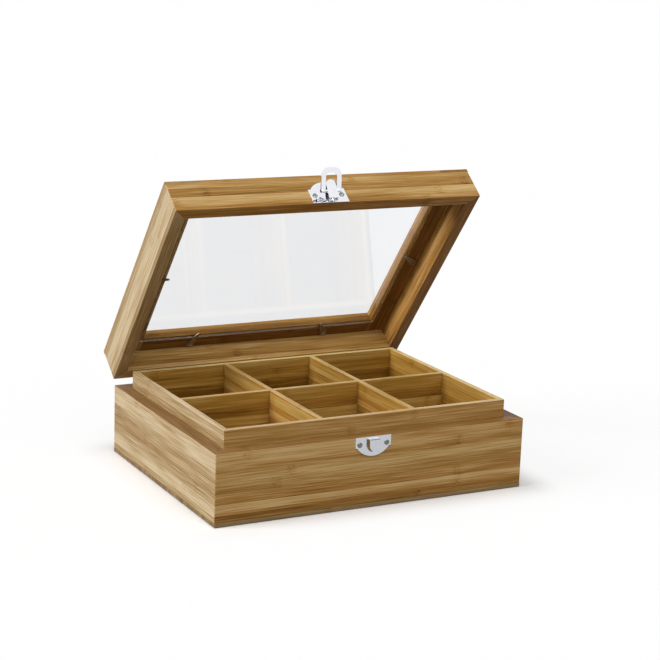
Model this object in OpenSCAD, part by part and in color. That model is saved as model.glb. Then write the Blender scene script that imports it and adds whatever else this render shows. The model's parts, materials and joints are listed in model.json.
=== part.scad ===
// Tea box of laminated bamboo with a windowed lid, six compartments and a loop clasp.
// Origin: centre of the underside. +X runs along the front, +Y to the hinges, +Z up.
// Lid pieces are drawn closed and then swung open about the hinge pins.

/* [Box] */
// Overall width of the box, along the front
body_w = 280; // [240:1:340]
// Overall depth of the box, front to back
body_d = 215; // [180:1:260]
// Height of the ledge of the base above the table
base_h = 59.5; // [45:0.5:80]
// Thickness of the bottom panel
panel_t = 3.5; // [2.5:0.1:6]
// Thickness of the outer boards of the base
wall_t = 12; // [11.6:0.1:15]
// Thickness of the lining boards
liner_t = 4.5; // [3:0.1:6]
// Rise of the lining above the ledge
lip_h = 14.3; // [8:0.1:16]
// Thickness of the dividers
divider_t = 4.5; // [3:0.1:6]
// Play of a lapped divider in its slot, on each side
lap_fit = 0.1; // [0.05:0.05:0.2]

/* [Lid] */
// Angle that the lid is drawn open
lid_open = 52; // [0:1:95]
// Height of the lid from rim to top
lid_h = 31; // [29:0.5:40]
// Thickness of the lid boards
lid_wall_t = 10.5; // [9:0.1:11.2]
// Gap between the closed rim and the ledge
rim_gap = 0.5; // [0.3:0.1:1]
// Thickness of the top rails where they lie on the lid boards
rail_lip_t = 3; // [2:0.1:5]
// Thickness of the top rails inside the lid boards
rail_t = 10.5; // [8:0.1:12]
// Width of the two side rails, which run the full depth
side_rail_w = 27.5; // [24:0.5:36]
// Width of the front and back rails, which butt between the side rails
end_rail_w = 26; // [24:0.5:36]

/* [Window] */
// Thickness of the window pane
pane_t = 2; // [1.5:0.1:3]
// Width of the rabbet that the pane lies in
rabbet_w = 3.5; // [2.5:0.1:4.5]
// Gap round the edge of the pane
pane_gap = 0.3; // [0.2:0.1:0.6]
// Distance of the outer turn buttons from the middle of the front and back rails
button_spread = 66; // [40:1:80]
// Distance from a turn button's screw to the lid board beside it
button_inset = 4.6; // [4.2:0.1:5]
// Radius of a turn button's round end
button_r = 3.5; // [3:0.1:3.8]
// Radius of a turn button's tip
button_tip_r = 0.8; // [0.5:0.1:1.5]
// Distance from the screw to the centre of the tip
button_reach = 14.2; // [11:0.1:16]
// Thickness of a turn button
button_t = 0.9; // [0.6:0.1:1.2]
// Play over and under a turn button
button_play = 0.15; // [0.1:0.05:0.3]

/* [Hinges] */
// Distance of each hinge from the middle of the box
hinge_x = 80; // [50:1:95]
// Width of a hinge leaf
leaf_w = 30; // [24:1:40]
// Height of a hinge leaf
leaf_h = 15; // [12:0.5:20]
// Thickness of a hinge leaf
leaf_t = 1.4; // [1:0.1:1.6]
// Distance from the back face of the box to the hinge pin
pin_out = 5.2; // [5:0.1:6]
// Outer radius of a hinge knuckle
knuckle_r = 3; // [2.8:0.1:3.3]
// Radius of a hinge pin
hinge_pin_r = 1.3; // [1:0.1:1.5]
// Gap between neighbouring knuckles
knuckle_gap = 0.3; // [0.2:0.1:0.5]
// Distance between the two screws of a leaf
leaf_screw_pitch = 18; // [12:1:20]

/* [Clasp] */
// Place of the clasp along the front, from the middle
clasp_x = -3; // [-6:0.5:6]
// Thickness of the clasp plate and the catch plate
plate_t = 1; // [0.8:0.1:1.2]
// Width of the clasp plate
clasp_plate_w = 33; // [30:0.5:40]
// Height of the straight sides of the clasp plate
clasp_side_h = 14.8; // [12:0.1:16]
// Radius of the round end of the clasp plate
clasp_round_r = 16.8; // [16:0.1:20]
// Height of the clasp plate over its round end
clasp_plate_h = 22.3; // [21:0.1:24]
// Width of the catch plate
catch_plate_w = 32; // [30:0.5:40]
// Height of the straight sides of the catch plate
catch_side_h = 8.8; // [7:0.1:10]
// Radius of the round end of the catch plate
catch_round_r = 17.9; // [17:0.1:22]
// Height of the catch plate over its round end
catch_plate_h = 16.2; // [15:0.1:20]
// Distance of the plate screws from the middle
plate_screw_x = 12.2; // [11.6:0.1:12.8]
// Height of the clasp screws above the rim
clasp_screw_up = 8; // [5:0.1:11]
// Depth of the catch screws below the ledge
catch_screw_down = 6.2; // [4:0.1:7]
// Height of the lever's pin above the rim
lever_pin_up = 2.5; // [2.3:0.1:3]
// Distance from the lid's front face to the lever's pin
lever_pin_out = 4.4; // [4.4:0.1:5]
// Width of the lever
lever_w = 8.8; // [8.6:0.1:9.2]
// Thickness of the lever's sheet metal
lever_t = 0.9; // [0.7:0.1:1]
// Distance from the lever's pin to the bend of its finger tab
lever_len = 10.1; // [9.6:0.1:11]
// Angle that the finger tab stands out
tab_angle = 8; // [0:1:20]
// Radius of the lever's pin
lever_pin_r = 1.1; // [0.9:0.1:1.3]
// Distance from the lever's pin to the loop's pivot
loop_up = 5.5; // [5.2:0.1:5.8]
// Length of the loop from its pivot to its outer end
loop_len = 19.2; // [18.8:0.1:19.6]
// Width of the loop's cross bar
loop_bar_w = 4.4; // [3.6:0.1:4.6]
// Width of a loop leg
loop_leg_w = 4.1; // [3.4:0.1:4.2]
// Gap between a loop leg and the side of the lever
loop_side_gap = 0.7; // [0.7:0.1:1]
// Thickness of the loop
loop_t = 1.4; // [1:0.1:1.5]
// Angle that the lever stands out from the lid at rest
lever_out = 26; // [0:1:60]
// Angle that the raised loop stands out from the lever at rest
loop_out = 24; // [0:1:60]
// Width of the catch's tongue
tongue_w = 9.2; // [8.6:0.1:9.3]
// Depth of the tongue's free end below the ledge
tongue_down = 11.9; // [11:0.1:13]
// Depth of the tongue's root below the ledge
tongue_root = 1.4; // [1:0.1:2]
// Room between the plate and the tongue
tongue_room = 2.7; // [2.6:0.1:3]

/* [Screws] */
// Radius of a screw head
head_r = 2.2; // [2:0.1:2.4]
// Height of a screw head
head_h = 0.8; // [0.6:0.1:1]
// Radius of a screw shank
shank_r = 1.1; // [0.9:0.1:1.2]
// Length of a screw below the piece that it holds
shank_len = 6; // [4:0.1:6.5]
// Play of a screw or pin in its hole, in radius
pin_fit = 0.05; // [0.02:0.01:0.08]

/* [Hidden] */
$fn = 48;
bamboo = [0.66, 0.50, 0.29];
bamboo_light = [0.76, 0.62, 0.40];
chrome = [0.80, 0.80, 0.82];
bronze = [0.42, 0.35, 0.28];
clear = [0.85, 0.90, 0.92, 0.4];

// Box, worked out from the driving sizes
half_w = body_w / 2;
half_d = body_d / 2;
lip_top = base_h + lip_h;
wall_h = base_h - panel_t;
liner_h = lip_top - panel_t;
liner_w = body_w - 2 * wall_t;
liner_d = body_d - 2 * wall_t;
inner_w = liner_w - 2 * liner_t;
inner_d = liner_d - 2 * liner_t;
cells_across = 3;
cell_w = (inner_w - (cells_across - 1) * divider_t) / cells_across;
cross_x = (cell_w + divider_t) / 2;

// Lid, in its closed place
rim_z = base_h + rim_gap;
lid_top = rim_z + lid_h;
lid_wall_h = lid_h - rail_lip_t;
rail_under = lid_top - rail_t;
lid_inner_w = body_w - 2 * lid_wall_t;
lid_inner_d = body_d - 2 * lid_wall_t;
window_w = body_w - 2 * side_rail_w;
window_d = body_d - 2 * end_rail_w;
rabbet_across = window_w + 2 * rabbet_w;
rabbet_deep = window_d + 2 * rabbet_w;

// Turn buttons: where each one's screw is, which way inward is, and how far it is turned
button_x = lid_inner_w / 2 - button_inset;
button_y = lid_inner_d / 2 - button_inset;
button_places = [
    [-button_spread, button_y], [button_spread, button_y],
    [button_x, 0], [-button_x, 0],
    [-button_spread, -button_y], [button_spread, -button_y]
];
button_inward = [180, 180, 90, 270, 0, 0];
button_turned = [19, -27, 37, 4, -12, 9];
button_head_r = 2;

// Hinge line
pin_y = half_d + pin_out;
pin_z = base_h + rim_gap / 2;
knuckle_count = 3;
knuckle_w = (leaf_w - (knuckle_count - 1) * knuckle_gap) / knuckle_count;
leaf_screw_up = 6;
leaf_screw_z = leaf_h - leaf_screw_up;
hinge_head_h = 0.8;
hinge_head_r = 2;
cap_t = 0.6;
cap_wide = 0.7;

// Clasp, measured up from the rim and out from the lid's front face
ear_t = 1.1;
ear_gap = 0.3;
ear_x = lever_w / 2 - lever_t - ear_gap;
ear_wall = 0.85;
ear_r = lever_pin_r + ear_wall;
ear_neck = 1.2;
ear_back = 2.6;
lobe_r = 3;
lever_start = -1.5;
lever_high = 3.3;
lever_fall = 1.3;
lever_low = -1.4;
rivet_head_r = 2;
rivet_head_t = 0.35;
rivet_gap = 0.05;
rivet_bore_r = 0.6;
stub_r = 1;
boss_r = 1.6;
loop_inner = lever_w / 2 + loop_side_gap;
loop_outer = loop_inner + loop_leg_w;
loop_corner = 7;
loop_inner_corner = 3.2;
tongue_out = plate_t + tongue_room;
tongue_slope = 0.15;
tongue_root_t = 0.8;
lance_gap = 0.9;

// Screws
recess_w = 0.6;
recess_deep = 0.45;
tip_room = 0.5;
slack = 0.01;

// Swings closed-lid geometry open about the hinge pins
module opened() {
    translate([0, pin_y, pin_z]) rotate([-lid_open, 0, 0]) translate([0, -pin_y, -pin_z]) children();
}

// Turns a piece drawn at the front to side 0 front, 1 right, 2 back or 3 left
module on_side(side, across, deep) {
    reach = side % 2 == 0 ? deep / 2 : across / 2;
    rotate([0, 0, 90 * side]) translate([0, -reach, 0]) children();
}

// Board with mitred ends, its outer face at y = 0
module mitred_board(side, across, deep, thick, high, z) {
    run = side % 2 == 0 ? across : deep;
    outline = [[-run / 2, 0], [run / 2, 0], [run / 2 - thick, thick], [-run / 2 + thick, thick]];
    on_side(side, across, deep) translate([0, 0, z]) linear_extrude(high) polygon(outline);
}

// Extrudes a profile drawn as (out of the front face, up) along X, down from x_max
module along_x(x_max, run) {
    translate([x_max, 0, 0]) rotate([90, 0, -90]) linear_extrude(run) children();
}

// Extrudes an outline drawn as (X, up) outward from y = 0, towards the front
module outward(thick) {
    rotate([90, 0, 0]) linear_extrude(thick) children();
}

// Screw standing on z = 0, with a cross recess in its head
module screw(head, high) {
    recess_len = 1.25 * head;
    difference() {
        union() {
            cylinder(h = high, r = head);
            translate([0, 0, -shank_len]) cylinder(h = shank_len, r = shank_r);
        }
        for (turn = [0, 90]) rotate([0, 0, turn])
            translate([-recess_len / 2, -recess_w / 2, high - recess_deep])
                cube([recess_len, recess_w, recess_deep + slack]);
    }
}

// Room for a screw's shank, down from z = 0
module screw_hole(deep) {
    translate([0, 0, -deep - tip_room]) cylinder(h = deep + tip_room + slack, r = shank_r + pin_fit);
}

// Places on the front faces, with z pointing out of the box
module at_plate_screws(z) {
    for (x = [-plate_screw_x, plate_screw_x])
        translate([clasp_x + x, -half_d, z]) rotate([90, 0, 0]) children();
}

// Places on the back face, with z pointing out of the box
module at_leaf_screws(z) {
    for (side = [-1, 1], step = [-0.5, 0.5])
        translate([side * hinge_x + step * leaf_screw_pitch, half_d, z]) rotate([-90, 0, 0]) children();
}

module at_buttons() {
    for (i = [0 : len(button_places) - 1])
        translate([button_places[i].x, button_places[i].y, rail_under]) rotate([180, 0, 0]) children();
}

base_leaf_screw_z = pin_z - knuckle_r + leaf_t - leaf_screw_z;
lid_leaf_screw_z = pin_z + knuckle_r - leaf_t + leaf_screw_z;

module bottom_panel() {
    color(bamboo) translate([-half_w, -half_d, 0]) cube([body_w, body_d, panel_t]);
}

module base_board(side) {
    color(bamboo) difference() {
        mitred_board(side, body_w, body_d, wall_t, wall_h, panel_t);
        at_plate_screws(base_h - catch_screw_down) screw_hole(shank_len - plate_t);
        at_leaf_screws(base_leaf_screw_z) screw_hole(shank_len - leaf_t);
    }
}

module liner_board(side) {
    color(bamboo_light) mitred_board(side, liner_w, liner_d, liner_t, liner_h, panel_t);
}

// Slot of a lapped divider, centred on x = 0 and y = 0
module lap_slot(z, high) {
    slot = divider_t + 2 * lap_fit;
    translate([-slot / 2, -slot / 2, z]) cube([slot, slot, high]);
}

module long_divider() {
    lap_z = panel_t + liner_h / 2;
    color(bamboo_light) difference() {
        translate([-inner_w / 2, -divider_t / 2, panel_t]) cube([inner_w, divider_t, liner_h]);
        for (x = [-cross_x, cross_x]) translate([x, 0, 0]) lap_slot(lap_z, liner_h);
    }
}

module cross_divider(x) {
    color(bamboo_light) translate([x, 0, 0]) difference() {
        translate([-divider_t / 2, -inner_d / 2, panel_t]) cube([divider_t, inner_d, liner_h]);
        lap_slot(0, panel_t + liner_h / 2);
    }
}

module lid_board(side) {
    color(bamboo) opened() difference() {
        mitred_board(side, body_w, body_d, lid_wall_t, lid_wall_h, rim_z);
        at_plate_screws(rim_z + clasp_screw_up) screw_hole(shank_len - plate_t);
        at_leaf_screws(lid_leaf_screw_z) screw_hole(shank_len - leaf_t);
    }
}

// Top rail: a thin part over the lid boards, a thick part between them and a rabbet for the pane
module top_rail(side) {
    end = side % 2 == 0;
    wide = end ? end_rail_w : side_rail_w;
    thin_run = end ? window_w : body_d;
    thick_run = end ? window_w : lid_inner_d;
    rabbet_run = end ? window_w : rabbet_deep;
    color(bamboo) opened() difference() {
        on_side(side, body_w, body_d) union() {
            translate([-thin_run / 2, 0, lid_top - rail_lip_t]) cube([thin_run, wide, rail_lip_t]);
            translate([-thick_run / 2, lid_wall_t, rail_under])
                cube([thick_run, wide - lid_wall_t, rail_t - rail_lip_t + slack]);
        }
        on_side(side, body_w, body_d)
            translate([-rabbet_run / 2, wide - rabbet_w, rail_under - slack])
                cube([rabbet_run, rabbet_w + slack, pane_t + slack]);
        at_buttons() screw_hole(shank_len);
    }
}

module window_pane() {
    pane_w = rabbet_across - 2 * pane_gap;
    pane_d = rabbet_deep - 2 * pane_gap;
    color(clear) opened() translate([-pane_w / 2, -pane_d / 2, rail_under]) cube([pane_w, pane_d, pane_t]);
}

// Teardrop outline with its screw at the origin and its tip along +Y
module button_outline() {
    lean = asin((button_r - button_tip_r) / button_reach);
    side = [cos(lean), sin(lean)];
    root = button_r * side;
    tip = button_tip_r * side + [0, button_reach];
    circle(r = button_r);
    translate([0, button_reach]) circle(r = button_tip_r);
    polygon([root, tip, [-tip.x, tip.y], [-root.x, root.y]]);
}

module turn_button(i) {
    color(bronze) opened()
        translate([button_places[i].x, button_places[i].y, rail_under - button_play - button_t])
            rotate([0, 0, button_inward[i] + button_turned[i]])
                linear_extrude(button_t) difference() {
                    button_outline();
                    circle(r = shank_r + pin_fit);
                }
}

module button_screws() {
    stand = 2 * button_play + button_t;
    color(bronze) opened() at_buttons() union() {
        translate([0, 0, stand]) screw(button_head_r, head_h);
        cylinder(h = stand, r = shank_r);
    }
}

// Knuckles and leaf, seen with the leaf hanging down from the pin line at y = z = 0
module hinge_leaf(first, total) {
    pitch = knuckle_w + knuckle_gap;
    difference() {
        union() {
            for (i = [first : 2 : total - 1]) translate([-leaf_w / 2 + i * pitch, 0, 0]) {
                rotate([0, 90, 0]) cylinder(h = knuckle_w, r = knuckle_r);
                translate([0, -pin_out, -knuckle_r]) cube([knuckle_w, pin_out, leaf_t]);
            }
            translate([-leaf_w / 2, -pin_out, -knuckle_r + leaf_t - leaf_h]) cube([leaf_w, leaf_t, leaf_h]);
        }
        translate([-leaf_w / 2 - slack, 0, 0]) rotate([0, 90, 0])
            cylinder(h = leaf_w + 2 * slack, r = hinge_pin_r + pin_fit);
        for (step = [-0.5, 0.5])
            translate([step * leaf_screw_pitch, -pin_out, -knuckle_r + leaf_t - leaf_screw_z])
                rotate([-90, 0, 0]) translate([0, 0, -slack])
                    cylinder(h = leaf_t + 2 * slack, r = shank_r + pin_fit);
    }
}

module hinge_base_leaf(side) {
    color(chrome) translate([side * hinge_x, pin_y, pin_z]) hinge_leaf(0, knuckle_count);
}

module hinge_lid_leaf(side) {
    color(chrome) opened() translate([side * hinge_x, pin_y, pin_z]) mirror([0, 0, 1]) hinge_leaf(1, knuckle_count);
}

module hinge_pin(side) {
    color(chrome) translate([side * hinge_x - leaf_w / 2 - cap_t, pin_y, pin_z]) rotate([0, 90, 0]) union() {
        cylinder(h = leaf_w + 2 * cap_t, r = hinge_pin_r);
        for (x = [0, leaf_w + cap_t]) translate([0, 0, x]) cylinder(h = cap_t, r = hinge_pin_r + cap_wide);
    }
}

module hinge_base_screws() {
    color(chrome) at_leaf_screws(base_leaf_screw_z) translate([0, 0, leaf_t]) screw(hinge_head_r, hinge_head_h);
}

module hinge_lid_screws() {
    color(chrome) opened() at_leaf_screws(lid_leaf_screw_z)
        translate([0, 0, leaf_t]) screw(hinge_head_r, hinge_head_h);
}

// Plate outline with its straight edge on y = 0 and its round end up
module plate_outline(wide, side_h, round_r, high) {
    translate([-wide / 2, 0]) square([wide, side_h]);
    intersection() {
        translate([0, high - round_r]) circle(r = round_r);
        translate([-wide / 2, 0]) square([wide, high]);
    }
}

module catch_plate() {
    tongue_h = tongue_down - tongue_w / 2;
    lance = tongue_w + 2 * lance_gap;
    tongue_profile = [
        [plate_t, -tongue_root], [tongue_out + plate_t, -tongue_root - tongue_slope * (tongue_room + plate_t)],
        [tongue_out + plate_t, -tongue_down], [tongue_out, -tongue_down],
        [tongue_out, -tongue_root - tongue_root_t - tongue_slope * tongue_out],
        [0, -tongue_root - tongue_root_t],
        [0, -tongue_root]
    ];
    color(chrome) translate([clasp_x, -half_d, base_h]) difference() {
        union() {
            difference() {
                outward(plate_t) mirror([0, 1])
                    plate_outline(catch_plate_w, catch_side_h, catch_round_r, catch_plate_h);
                outward(plate_t + slack) union() {
                    translate([-lance / 2, -tongue_h]) square([lance, tongue_h - tongue_root - tongue_root_t]);
                    translate([0, -tongue_h]) circle(r = lance / 2);
                }
            }
            intersection() {
                along_x(tongue_w / 2, tongue_w) polygon(tongue_profile);
                outward(tongue_out + 2 * plate_t) union() {
                    translate([-tongue_w / 2, -tongue_h]) square([tongue_w, tongue_h]);
                    translate([0, -tongue_h]) circle(r = tongue_w / 2);
                }
            }
        }
        for (x = [-plate_screw_x, plate_screw_x])
            translate([x, slack, -catch_screw_down]) outward(plate_t + 2 * slack) circle(r = shank_r + pin_fit);
    }
}

module catch_screws() {
    color(chrome) at_plate_screws(base_h - catch_screw_down) translate([0, 0, plate_t]) screw(head_r, head_h);
}

// Plate on the lid, with two ears that carry the lever's pin
module clasp_plate() {
    color(chrome) opened() translate([clasp_x, -half_d, rim_z]) difference() {
        union() {
            outward(plate_t) plate_outline(clasp_plate_w, clasp_side_h, clasp_round_r, clasp_plate_h);
            for (x_max = [ear_x, -ear_x + ear_t]) along_x(x_max, ear_t) {
                translate([lever_pin_out, lever_pin_up]) circle(r = ear_r);
                translate([0, lever_pin_up - ear_neck]) square([lever_pin_out, ear_neck + ear_back]);
            }
        }
        translate([lever_w / 2, 0, 0]) along_x(0, lever_w)
            translate([lever_pin_out, lever_pin_up]) circle(r = lever_pin_r + pin_fit);
        for (x = [-plate_screw_x, plate_screw_x])
            translate([x, slack, clasp_screw_up]) outward(plate_t + 2 * slack) circle(r = shank_r + pin_fit);
    }
}

module clasp_screws() {
    color(chrome) opened() at_plate_screws(rim_z + clasp_screw_up) translate([0, 0, plate_t]) screw(head_r, head_h);
}

// Places on the lever's pin, with (out, up) as (x, y) of the profiles
module at_lever_pin() {
    opened() translate([clasp_x, -half_d - lever_pin_out, rim_z + lever_pin_up]) children();
}

// Hollow rivet that the lever turns on
module clasp_pin() {
    half = lever_w / 2 + rivet_gap + rivet_head_t;
    color(chrome) at_lever_pin() difference() {
        union() {
            along_x(half, 2 * half) circle(r = lever_pin_r);
            for (x_max = [half, -half + rivet_head_t]) along_x(x_max, rivet_head_t) circle(r = rivet_head_r);
        }
        along_x(half + slack, 2 * half + 2 * slack) circle(r = rivet_bore_r);
    }
}

// Places on the lever as it stands at rest
module at_lever() {
    at_lever_pin() rotate([lever_out, 0, 0]) children();
}

// Channel-shaped lever: two side flanges, a face and a round finger tab
module clasp_lever() {
    face_end = lever_high - lever_fall;
    flange_low = [[lever_low, lever_len], [-lobe_r, 0]];
    flange = concat([[lever_high, lever_start], [face_end, lever_len]], flange_low, [[0, lever_start]]);
    face = [
        [lever_high, lever_start], [face_end, lever_len],
        [face_end - lever_t, lever_len], [lever_high - lever_t, lever_start]
    ];
    color(chrome) at_lever() difference() {
        union() {
            for (x_max = [lever_w / 2, -lever_w / 2 + lever_t]) along_x(x_max, lever_t) union() {
                circle(r = lobe_r);
                polygon(flange);
            }
            along_x(lever_w / 2, lever_w) polygon(face);
            translate([0, lever_t - face_end, lever_len - slack]) rotate([tab_angle, 0, 0])
                outward(lever_t) intersection() {
                    circle(r = lever_w / 2);
                    translate([-lever_w / 2, -lever_t / 2]) square([lever_w, lever_w]);
                }
        }
        along_x(lever_w / 2 + slack, lever_w + 2 * slack) union() {
            circle(r = lever_pin_r + pin_fit);
            translate([0, loop_up]) circle(r = stub_r + pin_fit);
        }
    }
}

// Outline of the loop, with its pivot on y = 0
module loop_outline() {
    end_y = loop_len - loop_bar_w;
    difference() {
        union() {
            translate([-loop_outer, 0]) square([2 * loop_outer, loop_len - loop_corner]);
            for (s = [-1, 1]) translate([s * (loop_outer - loop_corner), loop_len - loop_corner])
                circle(r = loop_corner);
            translate([loop_corner - loop_outer, 0]) square([2 * (loop_outer - loop_corner), loop_len]);
        }
        translate([-loop_inner, -slack]) square([2 * loop_inner, end_y - loop_inner_corner + slack]);
        for (s = [-1, 1]) translate([s * (loop_inner - loop_inner_corner), end_y - loop_inner_corner])
            circle(r = loop_inner_corner);
        translate([loop_inner_corner - loop_inner, 0]) square([2 * (loop_inner - loop_inner_corner), end_y]);
    }
}

// Flat stamped loop with round stubs that turn in the lever's flanges
module clasp_loop() {
    stub_in = lever_w / 2 - lever_t - ear_gap;
    color(chrome) at_lever() translate([0, 0, loop_up]) rotate([loop_out, 0, 0]) union() {
        translate([0, loop_t / 2, 0]) outward(loop_t) loop_outline();
        for (x_max = [loop_outer, -loop_inner]) along_x(x_max, loop_leg_w) circle(r = boss_r);
        for (x_max = [loop_inner + slack, -stub_in]) along_x(x_max, loop_inner - stub_in + slack) circle(r = stub_r);
    }
}

bottom_panel();
base_board(0);  // base_front
base_board(1);  // base_right
base_board(2);  // base_back
base_board(3);  // base_left
liner_board(0);  // liner_front
liner_board(1);  // liner_right
liner_board(2);  // liner_back
liner_board(3);  // liner_left
long_divider();
cross_divider(-cross_x);  // cross_divider_left
cross_divider(cross_x);  // cross_divider_right
catch_plate();
catch_screws();
hinge_base_leaf(-1);  // hinge_base_leaf_left
hinge_base_leaf(1);  // hinge_base_leaf_right
hinge_pin(-1);  // hinge_pin_left
hinge_pin(1);  // hinge_pin_right
hinge_base_screws();
lid_board(0);  // lid_front
lid_board(1);  // lid_right
lid_board(2);  // lid_back
lid_board(3);  // lid_left
top_rail(0);  // top_rail_front
top_rail(1);  // top_rail_right
top_rail(2);  // top_rail_back
top_rail(3);  // top_rail_left
window_pane();
button_screws();
turn_button(0);  // turn_button_back_left
turn_button(1);  // turn_button_back_right
turn_button(2);  // turn_button_right
turn_button(3);  // turn_button_left
turn_button(4);  // turn_button_front_left
turn_button(5);  // turn_button_front_right
hinge_lid_leaf(-1);  // hinge_lid_leaf_left
hinge_lid_leaf(1);  // hinge_lid_leaf_right
hinge_lid_screws();
clasp_plate();
clasp_screws();
clasp_pin();
clasp_lever();
clasp_loop();
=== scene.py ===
import json
import math

import bpy
import numpy as np
from mathutils import Matrix, Vector


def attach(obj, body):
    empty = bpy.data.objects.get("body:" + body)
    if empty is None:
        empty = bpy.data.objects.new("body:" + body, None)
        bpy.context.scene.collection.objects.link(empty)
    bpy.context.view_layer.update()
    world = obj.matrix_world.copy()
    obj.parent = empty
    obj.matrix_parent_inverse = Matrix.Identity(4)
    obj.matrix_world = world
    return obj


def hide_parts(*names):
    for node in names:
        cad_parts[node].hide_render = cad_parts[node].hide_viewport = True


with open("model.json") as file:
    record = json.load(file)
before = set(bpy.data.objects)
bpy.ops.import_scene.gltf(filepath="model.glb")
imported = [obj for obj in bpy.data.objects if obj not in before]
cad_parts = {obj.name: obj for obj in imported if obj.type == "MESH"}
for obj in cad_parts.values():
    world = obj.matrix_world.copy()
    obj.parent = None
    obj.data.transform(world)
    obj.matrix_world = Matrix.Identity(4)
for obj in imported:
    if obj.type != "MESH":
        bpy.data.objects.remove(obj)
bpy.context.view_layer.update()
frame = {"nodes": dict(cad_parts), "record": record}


# The lid is drawn shut and turned about the hinge pins, as the frame's lid is
MM = 0.001
LID_JOINT = next(j for j in frame["record"]["behaviour"]["joints"] if j["name"] == "lid_hinge")
PIN = Vector([round(c / MM, 3) for c in LID_JOINT["pos_m"]])
LID_TURN = Matrix.Rotation(math.radians(LID_JOINT["range_deg"][0]), 3, "X")


def opened(points):
    """Points (n, 3) of the shut lid, turned about the hinge pins to the angle they rest at."""
    return (points - np.array(PIN)) @ np.array(LID_TURN).T + np.array(PIN)


def shut(points):
    """Points (n, 3) of the lid at rest, turned back about the hinge pins."""
    return (points - np.array(PIN)) @ np.array(LID_TURN) + np.array(PIN)


def span(node, on_lid=False):
    """Lowest and highest corner of a CAD node in millimetres, a lid node's with the lid shut."""
    mesh = frame["nodes"][node].data
    points = np.empty(3 * len(mesh.vertices))
    mesh.vertices.foreach_get("co", points)
    points = points.reshape(-1, 3) / MM
    if on_lid:
        points = shut(points)
    return np.round(points.min(0), 2), np.round(points.max(0), 2)


# Sizes in millimetres, from the frame's own pieces
wall_low, wall_high = span("base_front")
lining_low, lining_high = span("liner_front")
lid_low, lid_high = span("lid_front", on_lid=True)
rail_low = span("top_rail_front", on_lid=True)[0]
catch_low, catch_high = span("catch_plate")
BODY_W, BODY_D = wall_high[0] - wall_low[0], -2 * wall_low[1]
LINED_W, LINED_D = lining_high[0] - lining_low[0], -2 * lining_low[1]
WALL_T, LINER_T, LID_WALL_T = (high[1] - low[1] for low, high in (
    (wall_low, wall_high), (lining_low, lining_high), (lid_low, lid_high)))
PANEL_T, BASE_H, LIP_TOP = wall_low[2], wall_high[2], lining_high[2]
RIM_Z, LID_BOARD_TOP, RAIL_UNDER = lid_low[2], lid_high[2], rail_low[2]
CLASP_X = (catch_low[0] + catch_high[0]) / 2


class Nodes:
    """Short calls for building a shader tree."""

    def __init__(self, tree):
        self.tree = tree

    def new(self, kind, **settings):
        node = self.tree.nodes.new(kind)
        for key, value in settings.items():
            setattr(node, key, value)
        return node

    def join(self, source, target):
        self.tree.links.new(source, target)

    def feed(self, sockets, values):
        """Links or sets one value for each socket."""
        for socket, value in zip(sockets, values):
            if isinstance(value, bpy.types.NodeSocket):
                self.join(value, socket)
            else:
                socket.default_value = value

    def math(self, operation, a, b=0.0, c=0.0, clamp=False):
        node = self.new("ShaderNodeMath", operation=operation, use_clamp=clamp)
        self.feed(node.inputs, (a, b, c))
        return node.outputs[0]

    def step(self, value, low, high, out_low=0.0, out_high=1.0):
        """Smooth step of value from low to high."""
        node = self.new("ShaderNodeMapRange", interpolation_type="SMOOTHSTEP")
        self.feed(node.inputs, (value, low, high, out_low, out_high))
        return node.outputs[0]

    def vector(self, x, y, z):
        node = self.new("ShaderNodeCombineXYZ")
        self.feed(node.inputs, (x, y, z))
        return node.outputs[0]

    def parts(self, vector):
        """The three parts of a vector."""
        node = self.new("ShaderNodeSeparateXYZ")
        self.join(vector, node.inputs[0])
        return node.outputs

    def noise(self, vector, scale=1.0, detail=2.0, rough=0.5):
        node = self.new("ShaderNodeTexNoise", noise_dimensions="3D")
        names = ("Vector", "Scale", "Detail", "Roughness")
        self.feed([node.inputs[name] for name in names], (vector, scale, detail, rough))
        return node.outputs["Fac"]

    def mix(self, factor, a, b, blend="MIX"):
        node = self.new("ShaderNodeMix", data_type="RGBA", blend_type=blend)
        self.feed([node.inputs[i] for i in (0, 6, 7)], (factor, a, b))
        return node.outputs[2]


class Finish(Nodes):
    """A new material's tree with its Principled shader, its output and its object coordinates."""

    def __init__(self, name):
        self.material = bpy.data.materials.new(name)
        self.material.use_nodes = True
        super().__init__(self.material.node_tree)
        self.tree.nodes.clear()
        self.surface = self.new("ShaderNodeBsdfPrincipled")
        self.output = self.new("ShaderNodeOutputMaterial")
        self.join(self.surface.outputs[0], self.output.inputs["Surface"])
        self.where = self.new("ShaderNodeTexCoord").outputs["Object"]

    def constants(self, **values):
        """Sets sockets of the shader itself; _ stands for a space in their names."""
        for name, value in values.items():
            self.surface.inputs[name.replace("_", " ")].default_value = value

    def effect(self, tree, place, bump, relief, **values):
        """Places a node group, sets its inputs and feeds the shader its colour, gloss and relief (mm)."""
        node = self.new("ShaderNodeGroup")
        node.node_tree = tree
        self.join(place, node.inputs["Vector"])
        for name, value in values.items():
            node.inputs[name.replace("_", " ")].default_value = value
        self.join(node.outputs["Color"], self.surface.inputs["Base Color"])
        self.join(node.outputs["Roughness"], self.surface.inputs["Roughness"])
        raised = self.new("ShaderNodeBump")
        raised.inputs["Strength"].default_value = bump
        raised.inputs["Distance"].default_value = relief * MM
        self.join(node.outputs["Height"], raised.inputs["Height"])
        self.join(raised.outputs[0], self.surface.inputs["Normal"])

    def blend_in(self, factor, second):
        """Puts a second shader in the Principled one's place by the factor."""
        choice = self.new("ShaderNodeMixShader")
        self.join(factor, choice.inputs[0])
        self.join(self.surface.outputs[0], choice.inputs[1])
        self.join(second, choice.inputs[2])
        self.join(choice.outputs[0], self.output.inputs["Surface"])


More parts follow.
